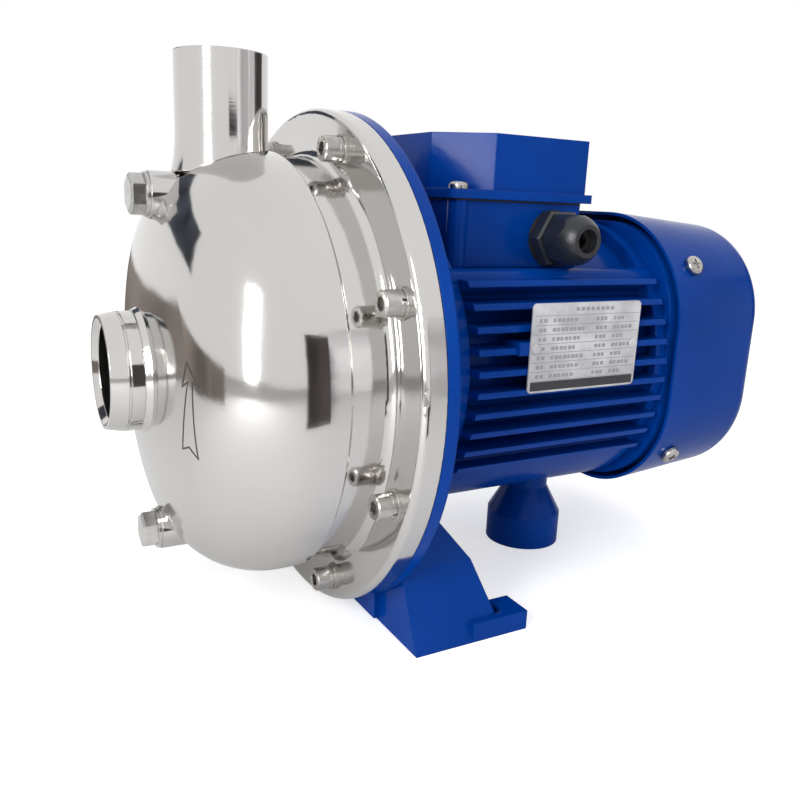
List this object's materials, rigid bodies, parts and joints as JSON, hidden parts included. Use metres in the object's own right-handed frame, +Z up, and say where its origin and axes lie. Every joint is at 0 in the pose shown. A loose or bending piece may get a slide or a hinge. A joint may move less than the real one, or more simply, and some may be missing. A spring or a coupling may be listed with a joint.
{
  "type": "booster pump",
  "caption": "Close-coupled horizontal centrifugal booster pump: pressed stainless casing, blue finned motor, terminal box, fan cover, front foot and rear support.",
  "frame": {"origin": "on the floor, midway between the two foot bolt holes", "axes": "+Z up along the foot bolts, +X along the shaft from the suction end to the motor"},
  "size_m": [0.3171, 0.218, 0.2363],
  "materials": {
    "stainless_polished": "polished pressed stainless steel",
    "stainless_plain": "plain stainless steel",
    "screw_steel": "plated steel fasteners",
    "shaft_steel": "ground steel",
    "bearing_steel": "hardened bearing steel",
    "core_steel": "stacked electrical steel sheets",
    "bronze": "plain bronze",
    "brass_stud": "plain brass",
    "copper_winding": "varnished copper wire",
    "blue_enamel": "deep glossy blue enamel",
    "plate_aluminium": "satin aluminium sheet",
    "gland_plastic": "black nylon",
    "fan_plastic": "black plastic",
    "board_plastic": "dark moulding compound",
    "capacitor_plastic": "pale plastic can",
    "ceramic_seal": "ground ceramic",
    "seal_carbon": "carbon face in a rubber bellows",
    "rubber_black": "black rubber"
  },
  "bodies": {
    "pump": {"capacitor": "capacitor_plastic", "casing_dome": "stainless_polished", "casing_drum": "stainless_polished", "casing_flat_washers": "screw_steel", "casing_o_ring": "rubber_black", "casing_screws": "screw_steel", "casing_spring_washers": "screw_steel", "discharge_stub": "stainless_polished", "fan_cover": "blue_enamel", "fan_cover_screws": "screw_steel", "front_bearing_outer_ring": "bearing_steel", "gland_body": "gland_plastic", "gland_washer": "rubber_black", "lid_screws": "screw_steel", "motor_bracket": "blue_enamel", "motor_housing": "blue_enamel", "motor_support": "blue_enamel", "nameplate": "plate_aluminium", "nameplate_rivets": "plate_aluminium", "plug_bosses": "stainless_polished", "rear_bearing_outer_ring": "bearing_steel", "rear_end_shield": "blue_enamel", "rim_weld": "stainless_polished", "seal_plate": "stainless_plain", "seal_seat": "ceramic_seal", "seal_seat_cup": "rubber_black", "stator_core": "core_steel", "stator_windings": "copper_winding", "suction_stub": "stainless_polished", "suction_weld": "stainless_polished", "support_screw": "screw_steel", "terminal_board": "board_plastic", "terminal_box": "blue_enamel", "terminal_box_gasket": "rubber_black", "terminal_box_lid": "blue_enamel", "terminal_studs": "brass_stud", "tie_bolts": "screw_steel", "wave_spring": "bearing_steel", "wear_ring": "bronze"},
    "rotor": {"cooling_fan": "fan_plastic", "fan_circlip": "bearing_steel", "front_bearing_inner_ring": "bearing_steel", "impeller": "stainless_plain", "impeller_key": "shaft_steel", "impeller_nut": "stainless_plain", "impeller_washer": "stainless_plain", "rear_bearing_inner_ring": "bearing_steel", "rotor_core": "core_steel", "seal_head": "seal_carbon", "seal_spring": "shaft_steel", "shaft": "shaft_steel", "slinger": "rubber_black"},
    "front_balls": {"front_bearing_balls": "bearing_steel"},
    "rear_balls": {"rear_bearing_balls": "bearing_steel"},
    "vent_washer": {"vent_plug_washer": "stainless_plain"},
    "vent_screw": {"vent_plug": "stainless_plain"},
    "drain_washer": {"drain_plug_washer": "stainless_plain"},
    "drain_screw": {"drain_plug": "stainless_plain"},
    "gland_grommet": {"gland_seal": "rubber_black"},
    "gland_cap": {"gland_nut": "gland_plastic"}
  },
  "joints": [
    {"name": "rotor_spin", "type": "hinge", "parent": "pump", "child": "rotor", "pos_m": [-0.05, 0, 0.11], "axis": [1, 0, 0], "continuous": true},
    {"name": "front_bearing_roll", "type": "hinge", "parent": "pump", "child": "front_balls", "pos_m": [-0.028, 0, 0.11], "axis": [1, 0, 0], "continuous": true},
    {"name": "rear_bearing_roll", "type": "hinge", "parent": "pump", "child": "rear_balls", "pos_m": [0.0955, 0, 0.11], "axis": [1, 0, 0], "continuous": true},
    {"name": "vent_plug_travel", "type": "slide", "parent": "pump", "child": "vent_washer", "axis": [-1, 0, 0], "range_m": [0, 0.009]},
    {"name": "vent_plug_turn", "type": "hinge", "parent": "vent_washer", "child": "vent_screw", "pos_m": [-0.1266, 0, 0.181], "axis": [-1, 0, 0], "range_deg": [0, 2160]},
    {"name": "drain_plug_travel", "type": "slide", "parent": "pump", "child": "drain_washer", "axis": [-1, 0, 0], "range_m": [0, 0.009]},
    {"name": "drain_plug_turn", "type": "hinge", "parent": "drain_washer", "child": "drain_screw", "pos_m": [-0.1266, 0, 0.039], "axis": [-1, 0, 0], "range_deg": [0, 2160]},
    {"name": "gland_nut_travel", "type": "slide", "parent": "pump", "child": "gland_grommet", "axis": [0, -1, 0], "range_m": [0, 0.0045]},
    {"name": "gland_nut_turn", "type": "hinge", "parent": "gland_grommet", "child": "gland_cap", "pos_m": [0.0463, -0.0485, 0.1687], "axis": [0, -1, 0], "range_deg": [0, 1080]}
  ],
  "couplings": [
    {"joint": "front_bearing_roll", "follows": "rotor_spin", "ratio": 0.384},
    {"joint": "rear_bearing_roll", "follows": "rotor_spin", "ratio": 0.384},
    {"joint": "vent_plug_turn", "follows": "vent_plug_travel", "rad_per_m": 4188.8},
    {"joint": "drain_plug_turn", "follows": "drain_plug_travel", "rad_per_m": 4188.8},
    {"joint": "gland_nut_turn", "follows": "gland_nut_travel", "rad_per_m": 4188.8}
  ]
}
